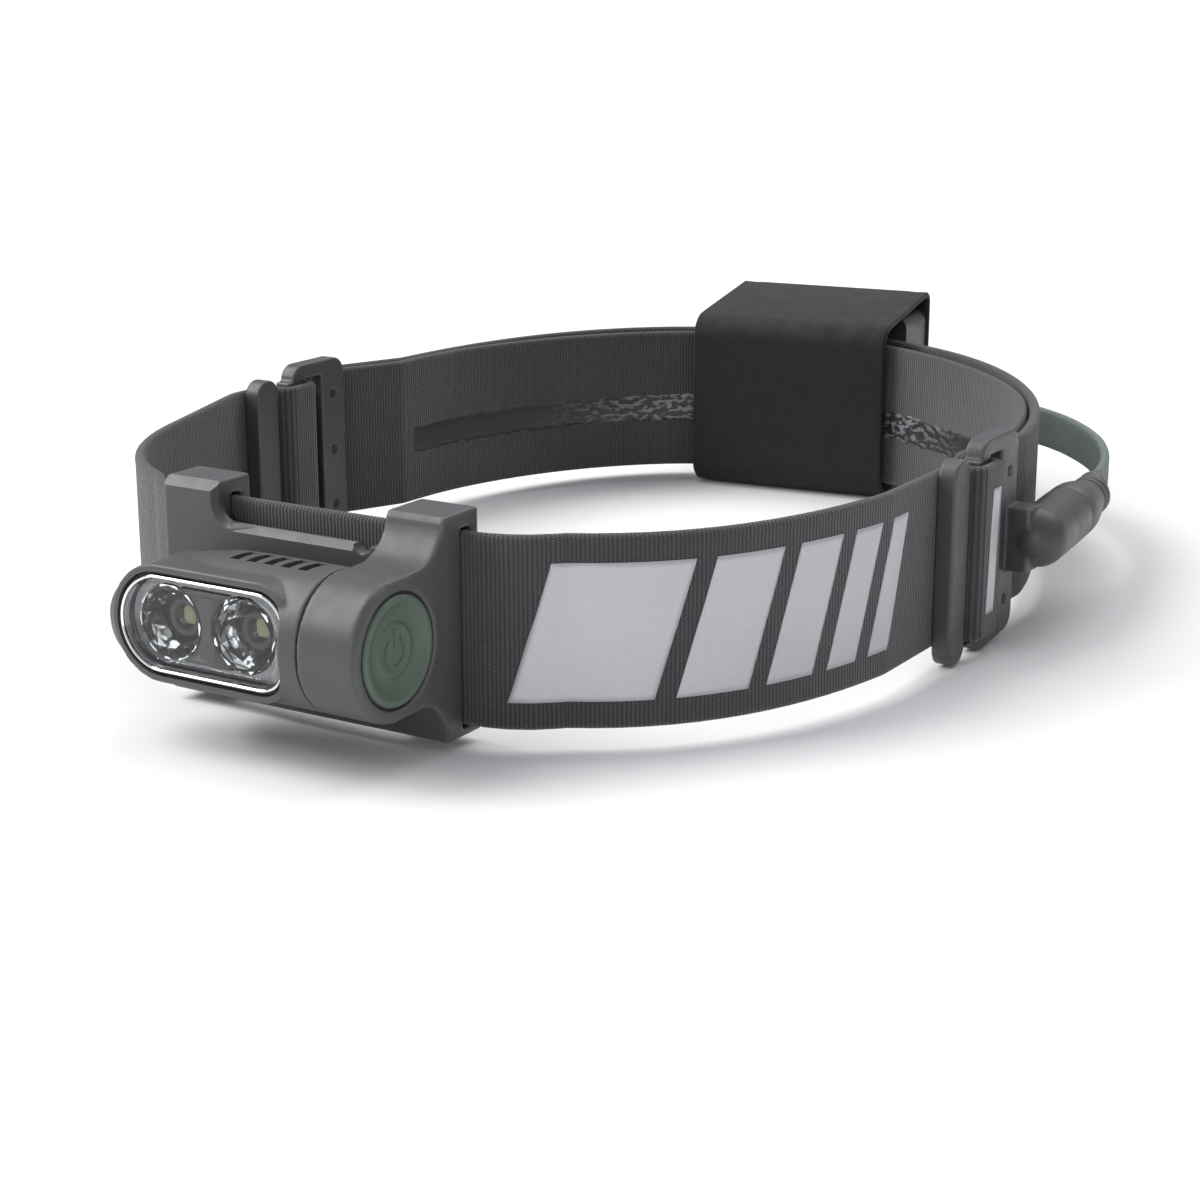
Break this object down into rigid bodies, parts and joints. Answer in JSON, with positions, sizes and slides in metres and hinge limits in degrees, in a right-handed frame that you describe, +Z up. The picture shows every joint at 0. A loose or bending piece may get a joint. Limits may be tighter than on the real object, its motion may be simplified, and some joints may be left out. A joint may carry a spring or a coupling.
{
  "type": "headlamp",
  "caption": "Running headlamp: tilting two-reflector lamp on a grey bracket, adjustable webbing strap with sliders, and a rear battery in a black sleeve joined by a plugged flat green cable.",
  "frame": {"origin": "centre of the head opening, in the plane that the sleeve and the sliders stand on", "axes": "+Z up through the opening, -Y the way the lamp shines, +X to the wearer's left, the switch side"},
  "size_m": [0.1689, 0.2509, 0.0437],
  "materials": {
    "grey_plastic": "fine satin, mid grey",
    "strap_webbing": "ribbed elastic webbing, dark grey",
    "grip_silicone": "clear silicone stripe",
    "sleeve_fabric": "black soft matte fabric",
    "pad_foam": "closed cell foam",
    "button_rubber": "sage green silicone",
    "cable_weave": "sage green woven sheath",
    "clear_lens": "clear polycarbonate",
    "bright_trim": "vacuum metallised",
    "black_rubber": "black",
    "black_plastic": "black",
    "led_phosphor": "phosphor dome",
    "circuit_board": "solder mask",
    "bare_metal": "bare",
    "spring_steel": "bright",
    "gold_contact": "gold plated",
    "wire_jacket": "silicone wire"
  },
  "bodies": {
    "root": {"bracket": "grey_plastic", "slider_left": "grey_plastic", "slider_right": "grey_plastic", "strap": "strap_webbing", "grip_strip": "grip_silicone", "sleeve": "sleeve_fabric", "rear_pad": "pad_foam", "cable": "cable_weave", "port_cover": "black_rubber", "cable_gland": "black_rubber", "button_ring": "black_plastic", "socket_insert": "black_plastic", "battery_front": "black_plastic", "battery_back": "black_plastic", "switch_board": "circuit_board", "battery_board": "circuit_board", "battery_cell": "bare_metal", "detent_ring": "spring_steel", "dome_switch": "spring_steel", "battery_screws": "spring_steel", "rivets_left": "spring_steel", "rivets_right": "spring_steel", "socket_contacts": "gold_contact", "feed_wire": "wire_jacket"},
    "head": {"head_shell": "grey_plastic", "head_back": "grey_plastic", "head_screws": "spring_steel", "lens": "clear_lens", "lens_gasket": "black_rubber", "lens_bezel": "bright_trim", "spot_reflector": "bright_trim", "flood_reflector": "bright_trim", "divider": "black_plastic", "led_board": "circuit_board", "spot_led": "led_phosphor", "flood_led": "led_phosphor", "heat_sink": "bare_metal", "pivot_seal": "black_rubber", "pivot_clip": "spring_steel", "inner_wire": "wire_jacket"},
    "button": {"button_cap": "button_rubber"},
    "plug": {"plug_body": "grey_plastic", "plug_pins": "gold_contact", "plug_seal": "black_rubber"}
  },
  "joints": [
    {"name": "head_tilt", "type": "hinge", "parent": "root", "child": "head", "pos_m": [0, -0.1185, 0.0201], "axis": [1, 0, 0], "range_deg": [0, 60]},
    {"name": "button_press", "type": "slide", "parent": "root", "child": "button", "axis": [-1, 0, 0], "range_m": [0, 0.0008], "stiffness_N_per_m": 2000},
    {"name": "plug_pull", "type": "slide", "parent": "root", "child": "plug", "axis": [-0.0993, 0.9951, 0], "range_m": [0, 0.008], "deforming": ["cable"]}
  ]
}
